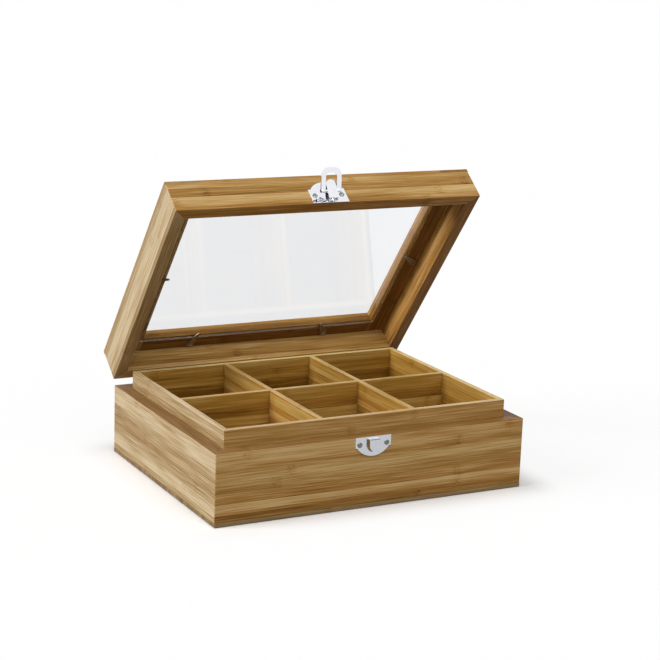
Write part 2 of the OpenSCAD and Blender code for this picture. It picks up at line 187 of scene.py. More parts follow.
def group(name, numbers, colours):
    """New group that takes a place, numbers and colours by name, and gives colour, gloss and height."""
    tree = bpy.data.node_groups.new(name, "ShaderNodeTree")
    tree.interface.new_socket(name="Vector", in_out="INPUT", socket_type="NodeSocketVector")
    for kind, values in (("NodeSocketFloat", numbers), ("NodeSocketColor", colours)):
        for label, value in values.items():
            tree.interface.new_socket(name=label, in_out="INPUT", socket_type=kind).default_value = value
    for label, kind in (("Color", "Color"), ("Roughness", "Float"), ("Height", "Float")):
        tree.interface.new_socket(name=label, in_out="OUTPUT", socket_type="NodeSocket" + kind)
    n = Nodes(tree)
    return n, n.new("NodeGroupInput").outputs, n.new("NodeGroupOutput").inputs


# Grain noises: waves a millimetre along, across and into the board, then detail and roughness
LAYERS = {
    "sway": (0.09, 0.16, 0.0, 1.0, 0.5),
    "drift": (0.006, 0.05, 0.0, 2.0, 0.5),
    "streak": (0.012, 0.42, 0.6, 2.5, 0.6),
    "line": (0.022, 1.5, 1.5, 1.5, 0.5),
    "fibre": (0.035, 2.3, 2.3, 3.0, 0.65),
    "fleck": (0.11, 1.7, 1.7, 1.0, 0.5),
    "speck": (0.42, 0.8, 1.0, 2.0, 0.5),
}
# How far the strip's own tone, its slope and the noises move the tone
SHARES = {"strip": 0.62, "slope": 0.75, "drift": 0.6, "streak": 0.75, "line": 1.9, "fibre": 0.85}
FLECK_TONE, SPECK_TONE, KNUCKLE_TONE, GLUE_TONE, GLUE_FAINT = -0.16, -0.22, -0.05, -0.12, 0.25
KNUCKLE_PITCH, KNUCKLE_SPREAD = 240.0, 7.3
KNUCKLE_CORE, KNUCKLE_REACH, KNUCKLE_SWAY_REACH = 0.6, 6.5, 22.0
SWAY_KNUCKLE, SWAY_EVERYWHERE = 1.7, 0.45
STRIP_DRAW, WARM_DRAW, GRAIN_SHIFT = 3.7, 7.31, 83.0
END_TONE, END_SHARE = 0.22, 0.85
WOOD_ROUGH, WOOD_ROUGH_SPREAD, GLUE_HEIGHT, STREAK_HEIGHT = 0.36, 0.16, -0.6, 0.5
# Where masks begin and end: the first four over noises and chances, the rest in millimetres
WARM, FLECK, SPECK, GLUE_CHANCE = (0.45, 0.95), (0.66, 0.8), (0.44, 0.66), (0.2, 0.8)
GLUE_HALF, SOFT_EDGE, SOFT_FOOT, SOFT_END = (0.08, 0.32), (-0.1, 0.1), (-0.2, 0.2), (-0.3, -0.05)


def layer(n, name, along, across, deep, shift=0.0, seed=0.0):
    """One noise of the grain; shift moves it along the board and seed moves it into the board."""
    wave_along, wave_across, wave_deep, detail, rough = LAYERS[name]
    x = n.math("MULTIPLY_ADD", along, wave_along, shift)
    y = n.math("MULTIPLY", across, wave_across)
    z = n.math("MULTIPLY_ADD", deep, wave_deep, seed)
    return n.noise(n.vector(x, y, z), 1.0, detail, rough)


def strips(n, across, width, seed):
    """Place across the strip from 0 to 1, and three chances that each strip draws for itself."""
    row_at = n.math("DIVIDE", across, width)
    row = n.math("FLOOR", row_at)
    chance = n.new("ShaderNodeTexWhiteNoise", noise_dimensions="3D")
    n.join(n.vector(row, seed, STRIP_DRAW), chance.inputs["Vector"])
    split = n.new("ShaderNodeSeparateColor")
    n.join(chance.outputs["Color"], split.inputs[0])
    return n.math("SUBTRACT", row_at, row), split.outputs[:3]


def from_knuckle(n, along, chance):
    """Distance along the grain to the strip's nearest knuckle."""
    turn = n.math("ADD", n.math("DIVIDE", along, KNUCKLE_PITCH), n.math("MULTIPLY", chance, KNUCKLE_SPREAD))
    off = n.math("SUBTRACT", n.math("FRACT", turn), 0.5)
    return n.math("ABSOLUTE", n.math("MULTIPLY", off, KNUCKLE_PITCH))


def glue_line(n, in_row, width, chance):
    """1 on the joint between two strips, fainter beside some strips."""
    to_joint = n.math("SUBTRACT", 0.5, n.math("ABSOLUTE", n.math("SUBTRACT", in_row, 0.5)))
    on_joint = n.step(n.math("MULTIPLY", to_joint, width), *GLUE_HALF, 1.0, 0.0)
    return n.math("MULTIPLY", on_joint, n.step(chance, *GLUE_CHANCE, GLUE_FAINT, 1.0))


def beyond(n, value, limit, soft):
    """1 where the value is past the limit and 0 before it, soft over a short way beside it."""
    return n.step(n.math("SUBTRACT", value, limit), *soft)


def part_tones(n, tone, place, given):
    """Tone of the wood with the painted light and shade of the board's edge, foot and face and the tone of
    its ends in it, and the edge's mask.
    """
    along, across, deep = place
    band = beyond(n, across, given["Band From"], SOFT_EDGE)
    foot = beyond(n, given["Foot To"], across, SOFT_FOOT)
    face = beyond(n, deep, given["Face From"], SOFT_EDGE)
    for mask, part in ((band, "Band Tone"), (foot, "Foot Tone"), (face, "Face Tone")):
        tone = n.math("MULTIPLY_ADD", mask, given[part], tone)
    end = beyond(n, n.math("ABSOLUTE", along), given["Half Length"], SOFT_END)
    to_end_tone = n.math("MULTIPLY", n.math("SUBTRACT", END_TONE, tone), END_SHARE)
    return n.math("MULTIPLY_ADD", end, to_end_tone, tone), band


def wood_colour(n, tone, warm, given):
    """Dark to middle to pale along the tone; the middle is warmer in some strips."""
    middle = n.mix(warm, given["Mid"], given["Warm"])
    twice = n.math("MULTIPLY", tone, 2.0, clamp=True)
    over = n.math("SUBTRACT", n.math("MULTIPLY", tone, 2.0), 1.0, clamp=True)
    return n.mix(over, n.mix(twice, given["Dark"], middle), given["Pale"])


def laminated_bamboo():
    """Board glued up from bamboo strips, in board millimetres: x along the grain, y across.

    Each strip has its own tone and a slope of tone across it. Stretched noises make the fibres,
    which bend a little round a darker knuckle at the strip's own places along the grain. Its upper
    edge takes a tone and tint of painted light: a highlight on lip and divider tops, shade on the
    ledge. Its foot takes a tone of painted shade, its face above a given depth a tone that lifts it
    out of the rails' painted shade, and its ends can have a tone of their own.
    """
    n, given, out = group("laminated_bamboo", {
        "Strip": 8.0, "Seed": 0.0, "Lines": 0.55, "Contrast": 1.0, "Tone": 0.0, "Band From": 1000.0,
        "Band Tone": 0.0, "Foot To": -1000.0, "Foot Tone": 0.0, "Half Length": 1000.0, "Face From": 1000.0,
        "Face Tone": 0.0}, {
        "Band Tint": (1, 1, 1, 1), "Dark": (0.15, 0.06, 0.010, 1), "Mid": (0.40, 0.212, 0.052, 1),
        "Warm": (0.41, 0.198, 0.046, 1), "Pale": (0.65, 0.44, 0.19, 1)})
    along, across, deep = n.parts(given["Vector"])
    seed = given["Seed"]
    in_row, (tone_chance, slope_chance, place_chance) = strips(n, across, given["Strip"], seed)
    warm = n.step(n.math("FRACT", n.math("MULTIPLY", slope_chance, WARM_DRAW)), *WARM)
    far = from_knuckle(n, along, place_chance)
    knuckle = n.step(far, KNUCKLE_CORE, KNUCKLE_REACH, 1.0, 0.0)
    near = n.step(far, 0.0, KNUCKLE_SWAY_REACH, 1.0, 0.0)
    bend = n.math("MULTIPLY_ADD", near, SWAY_KNUCKLE, SWAY_EVERYWHERE)
    sway = n.math("SUBTRACT", layer(n, "sway", along, across, deep, seed=seed), 0.5)
    bent = n.math("MULTIPLY_ADD", sway, bend, across)
    shift = n.math("MULTIPLY_ADD", tone_chance, GRAIN_SHIFT, seed)
    drift = layer(n, "drift", along, bent, deep, shift, seed)
    streak, line, fibre, fleck = (layer(n, name, along, bent, deep, shift)
                                  for name in ("streak", "line", "fibre", "fleck"))
    speck = n.step(layer(n, "speck", along, bent, deep, seed=seed), *SPECK)
    glue = glue_line(n, in_row, given["Strip"], place_chance)

    def about(value, share=1.0):
        return n.math("MULTIPLY", n.math("SUBTRACT", value, 0.5), share)

    slope = n.math("MULTIPLY", about(in_row), about(slope_chance, SHARES["slope"]))
    tone = n.math("ADD", about(tone_chance, SHARES["strip"]), slope)
    lines = n.math("MULTIPLY", about(line, SHARES["line"]), given["Lines"])
    for part in (about(drift, SHARES["drift"]), about(streak, SHARES["streak"]), lines,
                 about(fibre, SHARES["fibre"])):
        tone = n.math("ADD", tone, part)
    tone = n.math("MULTIPLY_ADD", tone, given["Contrast"], n.math("ADD", given["Tone"], 0.5))
    for mask, amount in ((n.step(fleck, *FLECK), FLECK_TONE),
                         (n.math("MULTIPLY", knuckle, speck), SPECK_TONE),
                         (knuckle, KNUCKLE_TONE), (glue, GLUE_TONE)):
        tone = n.math("MULTIPLY_ADD", mask, amount, tone)
    # Painted light and shade at the upper edge, the foot and the face, and the tone of the ends
    tone, band = part_tones(n, tone, (along, across, deep), given)

    # The edge band's tint multiplies in painted light: a bluish highlight on lip tops, brown shade on the
    # ledge
    colour = n.mix(band, wood_colour(n, tone, warm, given), given["Band Tint"], "MULTIPLY")
    relief = n.math("MULTIPLY_ADD", glue, GLUE_HEIGHT, n.math("MULTIPLY_ADD", streak, STREAK_HEIGHT, fibre))
    n.join(colour, out["Color"])
    n.join(n.math("MULTIPLY_ADD", fibre, WOOD_ROUGH_SPREAD, WOOD_ROUGH), out["Roughness"])
    n.join(relief, out["Height"])
    return n.tree


BRUSH_WAVES, BRUSH_ROUGH = (0.5, 9.0, 9.0), 0.02
CLOUD_SCALE, CLOUD_DETAIL, CLOUD_ROUGH, TARNISHED = 0.35, 3.0, 0.6, (0.42, 0.72)


def metal_wear():
    """Plated metal: faint smudges in the gloss, fine scratches and a little tarnish."""
    n, given, out = group("metal_wear", {"Tarnish Amount": 0.1, "Gloss Low": 0.06, "Gloss High": 0.16},
                          {"Tint": (0.8, 0.8, 0.8, 1), "Tarnish": (0.6, 0.6, 0.6, 1)})
    cloud = n.noise(given["Vector"], CLOUD_SCALE, CLOUD_DETAIL, CLOUD_ROUGH)
    stroke = [n.math("MULTIPLY", part, waves) for part, waves in zip(n.parts(given["Vector"]), BRUSH_WAVES)]
    brushed = n.noise(n.vector(*stroke))
    tarnish = n.math("MULTIPLY", n.step(cloud, *TARNISHED), given["Tarnish Amount"])
    spread = n.math("SUBTRACT", given["Gloss High"], given["Gloss Low"])
    gloss = n.math("MULTIPLY_ADD", spread, cloud, given["Gloss Low"])
    n.join(n.mix(tarnish, given["Tint"], given["Tarnish"]), out["Color"])
    n.join(n.math("MULTIPLY_ADD", brushed, BRUSH_ROUGH, gloss), out["Roughness"])
    n.join(cloud, out["Height"])
    return n.tree


BAMBOO = laminated_bamboo()
METAL = metal_wear()

# Rows of the turn from part millimetres to board millimetres: along, across, deep
BOARD_TURNS = {
    "x_upright": ((1, 0, 0), (0, 0, 1), (0, -1, 0)),
    "y_upright": ((0, 1, 0), (0, 0, 1), (1, 0, 0)),
    "x_flat": ((1, 0, 0), (0, 1, 0), (0, 0, 1)),
    "y_flat": ((0, 1, 0), (-1, 0, 0), (0, 0, 1)),
}


def board_place(n, grain, on_lid=False):
    """Object coordinates turned into board millimetres, out of the opened lid for a lid board."""
    turn = Matrix(BOARD_TURNS[grain])
    offset = Vector((0, 0, 0))
    if on_lid:
        back = LID_TURN.transposed()
        offset = turn @ (PIN - back @ PIN)
        turn = turn @ back
    mapping = n.new("ShaderNodeMapping", vector_type="POINT")
    n.join(n.where, mapping.inputs["Vector"])
    mapping.inputs["Scale"].default_value = (1 / MM,) * 3
    mapping.inputs["Rotation"].default_value = turn.to_euler("XYZ")
    mapping.inputs["Location"].default_value = offset
    return mapping.outputs[0]


def bamboo(name, grain, seed, on_lid=False, **values):
    """Bamboo for one board; values are the group's inputs with _ for a space."""
    n = Finish(name)
    n.effect(BAMBOO, board_place(n, grain, on_lid), bump=0.12, relief=0.2, Seed=seed, **values)
    n.constants(Specular_IOR_Level=0.12)
    return n.material


def plated(name, tint, tarnish, amount, gloss_low, gloss_high):
    """Metal of one tint, with an amount of tarnish and a gloss between two roughnesses."""
    n = Finish(name)
    n.effect(METAL, board_place(n, "x_flat"), bump=0.03, relief=0.05, Tint=(*tint, 1), Tarnish=(*tarnish, 1),
             Tarnish_Amount=amount, Gloss_Low=gloss_low, Gloss_High=gloss_high)
    n.constants(Metallic=1.0)
    return n.material


PANE_TINTS, PANE_SHADOW = ((0.905, 0.915, 0.93, 1), (0.945, 0.955, 0.97, 1)), (0.9, 0.91, 0.91, 1)
SMEAR_SCALE, SMEARED, SMEAR_ROUGH = 0.02, (0.35, 0.7), 0.012


def clear_pane():
    """Window glass with faint smears; shadows pass through it."""
    n = Finish("window_glass")
    cloud = n.noise(board_place(n, "x_flat", True), SMEAR_SCALE)
    n.join(n.mix(cloud, *PANE_TINTS), n.surface.inputs["Base Color"])
    n.join(n.step(cloud, *SMEARED, 0.0, SMEAR_ROUGH), n.surface.inputs["Roughness"])
    n.constants(Transmission_Weight=1.0, IOR=1.47, Specular_IOR_Level=0.28)
    through = n.new("ShaderNodeBsdfTransparent")
    through.inputs[0].default_value = PANE_SHADOW
    n.blend_in(n.new("ShaderNodeLightPath").outputs["Is Shadow Ray"], through.outputs[0])
    return n.material


# New surfaces, in millimetres
def enclosed(points, faces):
    """Six times the signed volume, from the tetrahedra between the origin and each face's triangles."""
    fans = [(face[0], face[i], face[i + 1]) for face in faces for i in range(1, len(face) - 1)]
    a, b, c = (points[list(index)] for index in zip(*fans))
    return float((np.cross(a, b) * c).sum())


def solid(name, points, faces, material, body, replaced, smooth=30):
    """Piece on a body for the CAD node it replaces; edges of more than smooth degrees look sharp."""
    points = points * MM
    if enclosed(points, faces) < 0:
        faces = [face[::-1] for face in faces]
    mesh = bpy.data.meshes.new(name)
    mesh.from_pydata(points.tolist(), [], faces)
    mesh.polygons.foreach_set("use_smooth", np.ones(len(mesh.polygons), dtype=bool))
    mesh.set_sharp_from_angle(angle=math.radians(smooth))
    mesh.materials.append(material)
    mesh.update()
    obj = bpy.data.objects.new(name, mesh)
    bpy.context.scene.collection.objects.link(obj)
    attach(obj, body)
    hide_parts(replaced)


def ring_quads(rings, around, first=0):
    """Quads between neighbouring rings of points, closed round each ring."""
    ring, turn = np.meshgrid(np.arange(rings - 1), np.arange(around), indexing="ij")
    a = first + ring * around + turn
    b = first + ring * around + (turn + 1) % around
    return np.stack([a, a + around, b + around, b], -1).reshape(-1, 4).tolist()


def last_cap(rings, around, first=0):
    """Flat face over the last ring of points."""
    return list(range(first + rings * around - 1, first + (rings - 1) * around - 1, -1))


STEPS_ROUND = 4
HOLD_EDGE = 0.25


def eased_profile(u0, u1, z0, z1, radii):
    """Rectangle in (inward, up) with rounded corners, and a holding point beside each round.

    Corners and radii run outer low, inner low, inner high, outer high. A rounded corner is the
    arc that touches both of its sides.
    """
    corner_points = np.array([(u0, z0), (u1, z0), (u1, z1), (u0, z1)], float)
    outline = []
    for i, corner in enumerate(corner_points):
        before = corner_points[i - 1] - corner
        after = corner_points[(i + 1) % len(corner_points)] - corner
        before /= np.linalg.norm(before)
        after /= np.linalg.norm(after)
        half = math.acos(np.clip(before @ after, -1, 1)) / 2
        reach = radii[i] / math.tan(half)
        centre = corner + (before + after) / np.linalg.norm(before + after) * radii[i] / math.sin(half)
        start, stop = corner + before * reach, corner + after * reach
        part = np.linspace(0, 1, STEPS_ROUND + 1)[:, None]
        chord = start + (stop - start) * part - centre
        arc = centre + chord / np.linalg.norm(chord, axis=1)[:, None] * radii[i]
        outline += [start + before * HOLD_EDGE, *arc, stop + after * HOLD_EDGE]
    return np.array(outline)


SIDES = ("front", "right", "back", "left")
ROW_APART, HOLD_END = 0.3, 0.5


def mitred_board(place, across, deep, profile, corner):
    """Board of a four-sided mitred frame, with its outer upright corners rounded.

    The profile holds (inward, up). A point at depth u runs parallel to the outer face and
    ends on the mitre plane, where x = half - u. Near the corner it follows an arc of radius
    corner - u about the corner's centre, up to that plane. Points deeper than the corner
    radius run straight to the plane, in rows that close up towards it.
    """
    side = SIDES.index(place)
    half, reach = (across / 2, deep / 2) if side % 2 == 0 else (deep / 2, across / 2)
    u, up = profile[:, 0], profile[:, 1]
    phi = np.linspace(0, math.pi / 4, STEPS_ROUND + 1)[:, None]
    arc_r = np.maximum(corner - u, 0)[None, :]
    apart = ROW_APART * np.minimum(u / corner, 1)[None, :] * (1 - phi / phi[-1])
    end_x = half - np.maximum(corner, u)[None, :] + arc_r * np.sin(phi) - apart
    end_u = np.where(u < corner, corner - arc_r * np.cos(phi), u[None, :] + 0 * phi)
    hold_x = end_x[:1] - HOLD_END
    x = np.concatenate([-end_x[::-1], -hold_x, 0 * hold_x, hold_x, end_x])
    depth = np.concatenate([end_u[::-1], end_u[:1], end_u[:1], end_u[:1], end_u])
    points = np.stack([x, depth - reach, np.broadcast_to(up, x.shape)], -1).reshape(-1, 3)
    turn = np.array(Matrix.Rotation(math.radians(90 * side), 3, "Z"))
    rings, around = x.shape
    faces = ring_quads(rings, around) + [list(range(around)), last_cap(rings, around)]
    return points @ turn.T, faces


# Shares of a screw head's radius and height
SLOT_WIDE, SLOT_LONG, SLOT_SOFT, SLOT_DEEP = 0.15, 0.62, 0.1, 0.6
HEAD_RIM, HEAD_DOME = 0.35, 0.97
HEAD_RINGS, HEAD_AROUND, HEAD_H = 16, 64, 0.8


def domed_head(radius):
    """Head with a cross recess, as its centre and then rings of (x, y, height); the last ring is its foot.

    The height is a cap of a sphere over a short rim, less a recess wherever the point lies in
    one of two crossed slots.
    """
    angle = np.linspace(0, 2 * math.pi, HEAD_AROUND, endpoint=False)
    r = radius * np.append(np.linspace(0, 1, HEAD_RINGS), 1.0)[:, None]
    x, y = r * np.cos(angle), r * np.sin(angle)

    def slot(a, b):
        inside = [np.clip(((size + SLOT_SOFT) * radius - np.abs(v)) / (SLOT_SOFT * radius), 0, 1)
                  for size, v in ((SLOT_WIDE, a), (SLOT_LONG, b))]
        return inside[0] * inside[1]

    cap = HEAD_RIM + (1 - HEAD_RIM) * np.sqrt(np.clip(1 - (HEAD_DOME * r / radius) ** 2, 0, 1))
    height = HEAD_H * (cap - SLOT_DEEP * np.maximum(slot(x, y), slot(y, x)))
    height[-1] = 0
    return np.stack([x, y, height], -1).reshape(-1, 3)[HEAD_AROUND - 1:]


def head_faces(centre):
    """Fan round the centre point, quads between the rings, and a flat face under the foot."""
    first, turn = centre + 1, np.arange(HEAD_AROUND)
    fan = np.stack([centre + 0 * turn, first + turn, first + (turn + 1) % HEAD_AROUND], -1).tolist()
    return fan + ring_quads(HEAD_RINGS, HEAD_AROUND, first) + [last_cap(HEAD_RINGS, HEAD_AROUND, first)]


def screw_heads(name, seats, out, up, radius, material, node, on_lid=False):
    """Domed heads of one node's screws, on seats that face out."""
    seats, out, up = (np.array(v, float) for v in (seats, out, up))
    if on_lid:
        seats, out, up = opened(seats), np.array(LID_TURN) @ out, np.array(LID_TURN) @ up
    head = domed_head(radius) @ np.array([np.cross(up, out), up, out])
    points = (seats[:, None, :] + head).reshape(-1, 3)
    faces = [face for i in range(len(seats)) for face in head_faces(i * len(head))]
    solid(name, points, faces, material, "lid" if on_lid else "base", node, smooth=45)


WELD_WITHIN, EASE_STEPS, EASE_ANGLE = 0.002, 2, 40


def dress(node, material, ease=0.0):
    """Material for a CAD node that is shown as it is, with its sharp edges eased (mm)."""
    obj = frame["nodes"][node]
    if not obj.data.materials:
        obj.data.materials.append(material)
    for slot in range(len(obj.data.materials)):
        obj.data.materials[slot] = material
    if ease:
        weld = obj.modifiers.new("join_triangles", "WELD")
        weld.merge_threshold = WELD_WITHIN * MM
        bevel = obj.modifiers.new("eased_edges", "BEVEL")
        bevel.width = ease * MM
        bevel.segments = EASE_STEPS
        bevel.limit_method = "ANGLE"
        bevel.angle_limit = math.radians(EASE_ANGLE)


# Looks of the boards, with painted light and shade in them
def palette(dark, mid, warm, pale, **values):
    """Four shades of one bamboo, from its dark lines to its pale strips."""
    return dict(Dark=(*dark, 1), Mid=(*mid, 1), Warm=(*warm, 1), Pale=(*pale, 1), **values)


def upper_edge(top, band_depth, tone, tint=(1, 1, 1)):
    """Tone and tint of a thin band at a board's upper edge, where light is painted: a paler, bluer highlight
    on the lip and divider tops, a darker brown shade on the ledge.
    """
    return dict(Band_From=top - band_depth, Band_Tone=tone, Band_Tint=(*tint, 1))


# Palette of painted sunlight for the left boards that face the key light: paler and less saturated
PAINTED_SUNLIT_PALETTE = palette((0.30, 0.17, 0.060), (0.46, 0.315, 0.15), (0.47, 0.305, 0.14), (0.68, 0.54, 0.34),
                Lines=1.15)
# Palette of painted bounce light for the inside boards: warmer and more saturated, as light bounced round
# the cells
PAINTED_BOUNCE_PALETTE = palette((0.17, 0.075, 0.008), (0.43, 0.222, 0.036), (0.43, 0.205, 0.036), (0.64, 0.44, 0.15),
                Contrast=0.8)
PRESSED = palette((0.10, 0.06, 0.025), (0.28, 0.18, 0.08), (0.28, 0.17, 0.075), (0.46, 0.34, 0.18))
# Depths of the painted bands in mm: the ledge's shade, the lip's highlight, the lid foot's shade and the
# base foot's shade
LEDGE_SHADE_DEPTH, LIP_HIGHLIGHT_DEPTH, RIM_SHADE_DEPTH, FOOT_SHADE_REACH = 0.45, 0.5, 0.45, 7.5
# The ledge band is painted shade: darker and browner than the wall below it
LEDGE_PAINTED_SHADE = upper_edge(BASE_H, LEDGE_SHADE_DEPTH, -0.1, (0.50, 0.44, 0.36))
# The lip's top band is a painted highlight: paler and bluer
LIP_PAINTED_HIGHLIGHT = upper_edge(LIP_TOP, LIP_HIGHLIGHT_DEPTH, 0.44, (0.97, 1.03, 1.28))
BASE_LOOKS = {
    "front": dict(LEDGE_PAINTED_SHADE, Tone=-0.06, Foot_Tone=-0.22),
    "right": dict(LEDGE_PAINTED_SHADE, Tone=0.0, Foot_Tone=-0.1),
    "back": dict(LEDGE_PAINTED_SHADE, Tone=0.0, Foot_Tone=-0.1),
    # The left wall's ledge band is painted shade too
    "left": dict(PAINTED_SUNLIT_PALETTE, Tone=0.04, **upper_edge(BASE_H, LEDGE_SHADE_DEPTH, -0.1, (0.45, 0.355, 0.24))),
}
# The linings' tones are lowered as painted shade in the cells, the back one the most
LINING_LOOKS = {
    "front": dict(LIP_PAINTED_HIGHLIGHT, Tone=-0.03, Contrast=0.9),
    "right": dict(PAINTED_BOUNCE_PALETTE, Tone=-0.1, **LIP_PAINTED_HIGHLIGHT),
    "back": dict(PAINTED_BOUNCE_PALETTE, Tone=-0.14, **LIP_PAINTED_HIGHLIGHT),
    # The left lining's top band is a painted highlight without the blue tint
    "left": dict(PAINTED_SUNLIT_PALETTE, Tone=-0.12, **upper_edge(LIP_TOP, LIP_HIGHLIGHT_DEPTH, 0.34)),
}
LID_LOOKS = {
    "front": dict(Tone=-0.03, Foot_Tone=-0.12),
    "right": dict(Tone=0.06, Foot_Tone=-0.1),
    "back": dict(Tone=0.02, Foot_Tone=-0.1),
    "left": dict(PAINTED_SUNLIT_PALETTE, Tone=0.06, Foot_Tone=-0.2),
}
# Rails are painted darker than the boards, as painted shade of their undersides in the open lid; the back
# rail the most
RAIL_LOOKS = {
    "front": dict(Tone=-0.4),
    "right": dict(Tone=-0.42, Half_Length=BODY_D / 2),
    "back": dict(Tone=-0.6),
    "left": dict(PAINTED_SUNLIT_PALETTE, Tone=-0.3, Half_Length=BODY_D / 2),
}
# Dividers take the painted bounce-light palette of the cells and a painted highlight on their upper edge
DIVIDER_LOOK = dict(PAINTED_BOUNCE_PALETTE, Strip=9.0, **upper_edge(LIP_TOP, LIP_HIGHLIGHT_DEPTH, 0.24, (0.95, 0.98, 1.25)))

# Outlines of the boards: radii run outer low, inner low, inner high, outer high
WALL = eased_profile(0, WALL_T, PANEL_T, BASE_H, (0.5, 0.05, 0.45, 0.7))
LINING = eased_profile(0, LINER_T, PANEL_T, LIP_TOP, (0.05, 0.05, 0.5, 0.5))
LID_BOARD = eased_profile(0, LID_WALL_T, RIM_Z, LID_BOARD_TOP, (0.6, 0.5, 0.05, 0.12))
BODY_CORNER_R, LINING_CORNER_R, THIN_EASE, PANEL_EASE = 1.0, 0.7, 0.3, 0.5


def grain_of(place, lie):
    """Grain runs along the board: along X at the front and back, along Y at the ends."""
    return ("x_" if place in ("front", "back") else "y_") + lie


def base_board(place, seed):
    """Wall of the base; its upper edge is the ledge that the lid comes down on."""
    points, faces = mitred_board(place, BODY_W, BODY_D, WALL, BODY_CORNER_R)
    # The wall is darker towards its foot, painted shade near the floor
    wood = bamboo(f"bamboo_base_{place}", grain_of(place, "upright"), seed, Strip=8.8,
                  Foot_To=PANEL_T + FOOT_SHADE_REACH, **BASE_LOOKS[place])
    solid(f"board_{place}", points, faces, wood, "base", f"base_{place}")


def lining_board(place, seed):
    """Thin board inside the base that stands up as the lid's lip."""
    points, faces = mitred_board(place, LINED_W, LINED_D, LINING, LINING_CORNER_R)
    wood = bamboo(f"bamboo_lining_{place}", grain_of(place, "upright"), seed, Strip=9.4,
                  **LINING_LOOKS[place])
    solid(f"lining_{place}", points, faces, wood, "base", f"liner_{place}")


def lid_board(place, seed):
    """Wall of the lid; its foot is the face that meets the ledge."""
    points, faces = mitred_board(place, BODY_W, BODY_D, LID_BOARD, BODY_CORNER_R)
    # The lid's foot face is darker, painted shade
    wood = bamboo(f"bamboo_lid_{place}", grain_of(place, "upright"), seed, on_lid=True, Strip=9.2,
                  Foot_To=RIM_Z + RIM_SHADE_DEPTH, **LID_LOOKS[place])
    solid(f"lid_board_{place}", opened(points), faces, wood, "lid", f"lid_{place}")


def top_rail(place, seed):
    """Rail on the lid's boards that frames the pane. It is painted darker as painted shade of its underside,
    and the part above the boards is painted paler again.
    """
    wood = bamboo(f"bamboo_rail_{place}", grain_of(place, "flat"), seed, on_lid=True, Strip=6.8,
                  Contrast=0.7, Face_From=LID_BOARD_TOP, Face_Tone=0.32, **RAIL_LOOKS[place])
    dress(f"top_rail_{place}", wood, THIN_EASE)


def bottom_panel():
    """Thin panel pressed from fine strips, seen as a line round the foot."""
    wood = bamboo("bamboo_panel", "x_flat", seed=5.5, Strip=3.2, Contrast=0.6, **PRESSED)
    dress("bottom_panel", wood, PANEL_EASE)


def divider(node, wood_name, grain, seed, tone):
    """Divider whose upper edge is painted paler, a painted highlight."""
    dress(node, bamboo(wood_name, grain, seed, Tone=tone, **DIVIDER_LOOK), THIN_EASE)


# Every side draws its own grain: the first side's seed and the step to the next side's
SIDE_SEEDS = ((base_board, 11.3, 5.1), (lining_board, 31.7, 3.3), (lid_board, 57.9, 4.7),
              (top_rail, 71.1, 2.9))
for count, place in enumerate(SIDES):
    for build_board, first_seed, seed_step in SIDE_SEEDS:
        build_board(place, first_seed + seed_step * count)
bottom_panel()
divider("long_divider", "bamboo_long_divider", "x_upright", seed=90.3, tone=-0.05)
divider("cross_divider_left", "bamboo_divider_left", "y_upright", seed=93.1, tone=0.04)
divider("cross_divider_right", "bamboo_divider_right", "y_upright", seed=96.4, tone=0.04)

# Metals: tint, tarnish, amount of tarnish, lowest and highest roughness
chrome = plated("bright_chrome", (0.84, 0.86, 0.90), (0.60, 0.62, 0.66), 0.2, 0.06, 0.14)
nickel = plated("dull_nickel", (0.62, 0.61, 0.59), (0.42, 0.4, 0.38), 0.4, 0.2, 0.34)
# The clasp's pin is painted near black, as painted shade inside the lever's channel
pin_painted_shade = plated("blackened_steel", (0.10, 0.10, 0.11), (0.05, 0.05, 0.05), 0.5, 0.2, 0.34)
screw_steel = plated("screw_steel", (0.26, 0.26, 0.25), (0.1, 0.1, 0.1), 0.6, 0.1, 0.2)
bronze = plated("grey_bronze", (0.30, 0.24, 0.18), (0.17, 0.13, 0.09), 0.7, 0.34, 0.5)
hinge_nodes = [f"hinge_{part}_{place}" for part in ("base_leaf", "lid_leaf", "pin")
               for place in ("left", "right")]
button_nodes = [node for node in frame["nodes"] if node.startswith("turn_button_")]
# Metal pieces, their finish and how far their edges are eased
for nodes, finish, ease in ((("catch_plate", "clasp_plate", "clasp_lever"), chrome, 0.2),
                            (("clasp_loop",), chrome, 0.3), (("clasp_pin",), pin_painted_shade, 0.1),
                            (hinge_nodes, nickel, 0.15), (button_nodes, bronze, 0.18)):
    for node in nodes:
        dress(node, finish, ease)
dress("window_pane", clear_pane())

# Screws of the clasp and its catch
PLATE_T, PLATE_SCREW_X, CATCH_SCREW_DOWN, CLASP_SCREW_UP, PLATE_HEAD_R = 1.0, 12.2, 6.2, 8.0, 2.2
plate_y = -BODY_D / 2 - PLATE_T
plate_x = (CLASP_X - PLATE_SCREW_X, CLASP_X + PLATE_SCREW_X)
OUT_FRONT, OUT_BACK, OUT_DOWN, UP, BACK = (0, -1, 0), (0, 1, 0), (0, 0, -1), (0, 0, 1), (0, 1, 0)
screw_heads("catch_screw_heads", [(x, plate_y, BASE_H - CATCH_SCREW_DOWN) for x in plate_x],
            OUT_FRONT, UP, PLATE_HEAD_R, screw_steel, "catch_screws")
screw_heads("clasp_screw_heads", [(x, plate_y, RIM_Z + CLASP_SCREW_UP) for x in plate_x],
            OUT_FRONT, UP, PLATE_HEAD_R, screw_steel, "clasp_screws", on_lid=True)

